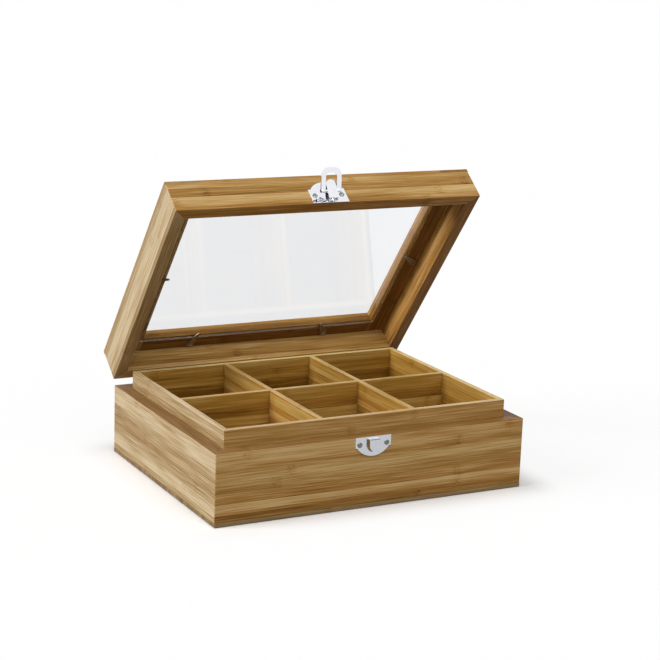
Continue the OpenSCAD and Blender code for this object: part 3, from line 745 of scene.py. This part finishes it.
# Screws of the turn buttons, whose heads stand off the rails by a button and its play
BUTTON_INSET, BUTTON_SPREAD, BUTTON_STAND, SMALL_HEAD_R = 4.6, 66.0, 1.2, 2.0
button_x, button_y = (size / 2 - LID_WALL_T - BUTTON_INSET for size in (BODY_W, BODY_D))
button_z = RAIL_UNDER - BUTTON_STAND
button_spots = [(-BUTTON_SPREAD, button_y), (BUTTON_SPREAD, button_y), (button_x, 0), (-button_x, 0),
                (-BUTTON_SPREAD, -button_y), (BUTTON_SPREAD, -button_y)]
screw_heads("button_screw_heads", [(x, y, button_z) for x, y in button_spots],
            OUT_DOWN, BACK, SMALL_HEAD_R, bronze, "button_screws", on_lid=True)

# Screws of the hinge leaves
HINGE_X, LEAF_T, LEAF_SCREW, KNUCKLE_R, LEAF_PITCH = 80.0, 1.4, 9.0, 3.0, 18.0
leaf_y = BODY_D / 2 + LEAF_T
leaf_x = [side * HINGE_X + step * LEAF_PITCH / 2 for side in (-1, 1) for step in (-1, 1)]
from_pin = KNUCKLE_R - LEAF_T + LEAF_SCREW
screw_heads("hinge_screw_heads_low", [(x, leaf_y, PIN.z - from_pin) for x in leaf_x],
            OUT_BACK, UP, SMALL_HEAD_R, nickel, "hinge_base_screws")
screw_heads("hinge_screw_heads_high", [(x, leaf_y, PIN.z + from_pin) for x in leaf_x],
            OUT_BACK, UP, SMALL_HEAD_R, nickel, "hinge_lid_screws", on_lid=True)


# Studio, in metres
def stage_plane(name, centre, right, up, width, height, material):
    """Flat rectangle of the stage."""
    centre, right, up = (np.array(v, float) for v in (centre, right, up))
    signs = np.array([(-1, -1), (1, -1), (1, 1), (-1, 1)]) / 2
    points = centre + signs[:, :1] * width * right + signs[:, 1:] * height * up
    mesh = bpy.data.meshes.new(name)
    mesh.from_pydata(points.tolist(), [], [(0, 1, 2, 3)])
    mesh.materials.append(material)
    obj = bpy.data.objects.new(name, mesh)
    bpy.context.scene.collection.objects.link(obj)
    return obj


def page_seen(n, gloss_share):
    """1 on rays from the camera and through the pane, and gloss_share on rays from polished faces."""
    path = n.new("ShaderNodeLightPath").outputs
    seen = n.math("MAXIMUM", path["Is Camera Ray"], path["Is Transmission Ray"])
    return n.math("MAXIMUM", seen, n.math("MULTIPLY", path["Is Glossy Ray"], gloss_share))


FLOOR_DIM, PAGE_NEAR, PAGE_FAR, PAGE_REACH = 0.40, 0.0, 0.84, 0.04
GLOSS_NEAR, GLOSS_FAR, GLOSS_FROM, GLOSS_TO = 0.25, 1.0, 0.35, 0.9


def floor_paint():
    """White page to the camera, but a dim floor to the light it sends on, with the box's shadow kept.

    Polished metal sees the floor close to the box dim and the floor far from it white.
    """
    n = Finish("studio_floor")
    spot = n.parts(n.where)
    beside = [n.math("MAXIMUM", n.math("SUBTRACT", n.math("ABSOLUTE", spot[i]), size / 2 * MM), 0.0)
              for i, size in enumerate((BODY_W, BODY_D))]
    away = n.math("SQRT", n.math("ADD", *(n.math("MULTIPLY", b, b) for b in beside)))
    seen = page_seen(n, n.step(away, GLOSS_FROM, GLOSS_TO, GLOSS_NEAR, GLOSS_FAR))
    shade = n.math("MULTIPLY_ADD", seen, 1.0 - FLOOR_DIM, FLOOR_DIM)
    n.join(n.vector(shade, shade, shade), n.surface.inputs["Base Color"])
    n.constants(Roughness=1.0, Specular_IOR_Level=0.0)
    page = n.new("ShaderNodeEmission")
    page.inputs[0].default_value = (1, 1, 1, 1)
    n.blend_in(n.math("MULTIPLY", seen, n.step(away, 0.0, PAGE_REACH, PAGE_NEAR, PAGE_FAR)), page.outputs[0])
    return n.material


SOOT_SCALE, SOOT_CLOUDS, SOOT_TONES = 3.0, (0.3, 0.7), (0.004, 0.012)


def card_paint():
    """Sooty black with faint clouds."""
    n = Finish("black_card")
    soot = n.step(n.noise(n.where, SOOT_SCALE), *SOOT_CLOUDS, *SOOT_TONES)
    n.join(n.vector(soot, soot, soot), n.surface.inputs["Base Color"])
    n.constants(Roughness=1.0, Specular_IOR_Level=0.0)
    return n.material


def studio_air(strength):
    """Even white light of the given strength, behind a background that shows white."""
    world = bpy.data.worlds.new("studio_air")
    bpy.context.scene.world = world
    world.use_nodes = True
    n = Nodes(world.node_tree)
    n.tree.nodes.clear()
    backdrop = n.new("ShaderNodeBackground")
    n.join(n.math("MULTIPLY_ADD", page_seen(n, 1.0), 1.0 - strength, strength), backdrop.inputs["Strength"])
    backdrop.inputs["Color"].default_value = (1, 1, 1, 1)
    n.join(backdrop.outputs[0], n.new("ShaderNodeOutputWorld").inputs["Surface"])


def towards(azimuth, elevation):
    """Direction to a point: azimuth from -Y towards +X and elevation above the horizon, in degrees."""
    a, e = math.radians(azimuth), math.radians(elevation)
    return Vector((math.sin(a) * math.cos(e), -math.cos(a) * math.cos(e), math.sin(e)))


def sun(name, azimuth, elevation, strength, spread):
    """Broad lamp far away, standing at an azimuth and elevation."""
    data = bpy.data.lights.new(name, "SUN")
    data.energy, data.angle = strength, math.radians(spread)
    obj = bpy.data.objects.new(name, data)
    obj.rotation_euler = (-towards(azimuth, elevation)).to_track_quat("-Z", "Y").to_euler()
    bpy.context.scene.collection.objects.link(obj)


FLOOR_Z, FLOOR_SIZE = -0.0004, 60
stage_plane("studio_floor", (0, 0, FLOOR_Z), (1, 0, 0), (0, 1, 0), FLOOR_SIZE, FLOOR_SIZE, floor_paint())

# A card up to the left that shows in reflections only
CARD_CENTRE, CARD_ACROSS, CARD_WIDE, CARD_DEEP = (-0.62, 0.0, 1.35), (0.89, 0, 0.46), 0.75, 0.9
card = stage_plane("black_card", CARD_CENTRE, CARD_ACROSS, (0, 1, 0), CARD_WIDE, CARD_DEEP, card_paint())
card.visible_camera = card.visible_diffuse = card.visible_transmission = card.visible_shadow = False

studio_air(0.27)
sun("key_light", azimuth=-98, elevation=30, strength=2.3, spread=34)
sun("fill_light", azimuth=-6, elevation=52, strength=1.35, spread=50)

# Camera: where the photograph was taken from
CAMERA_AZIMUTH, CAMERA_ELEVATION, ROLL = -27.93, 13.30, math.radians(2.04)
DISTANCE, LOOK_AT, FOCAL_PX, FRAME_PX, SENSOR = 1.5305, Vector((0.01181, 0, 0.12075)), 1814.7, 660, 36
back = towards(CAMERA_AZIMUTH, CAMERA_ELEVATION)
level = (-back).cross(Vector((0, 0, 1))).normalized()
upright = level.cross(-back)
right = math.cos(ROLL) * level + math.sin(ROLL) * upright
top = math.cos(ROLL) * upright - math.sin(ROLL) * level
data = bpy.data.cameras.new("camera")
data.sensor_width = SENSOR
data.lens = FOCAL_PX / FRAME_PX * SENSOR
camera = bpy.data.objects.new("camera", data)
turned = Matrix((right, top, back)).transposed().to_4x4()
camera.matrix_world = Matrix.Translation(LOOK_AT + back * DISTANCE) @ turned
bpy.context.scene.collection.objects.link(camera)
bpy.context.scene.camera = camera
bpy.context.scene.view_settings.view_transform = "Standard"
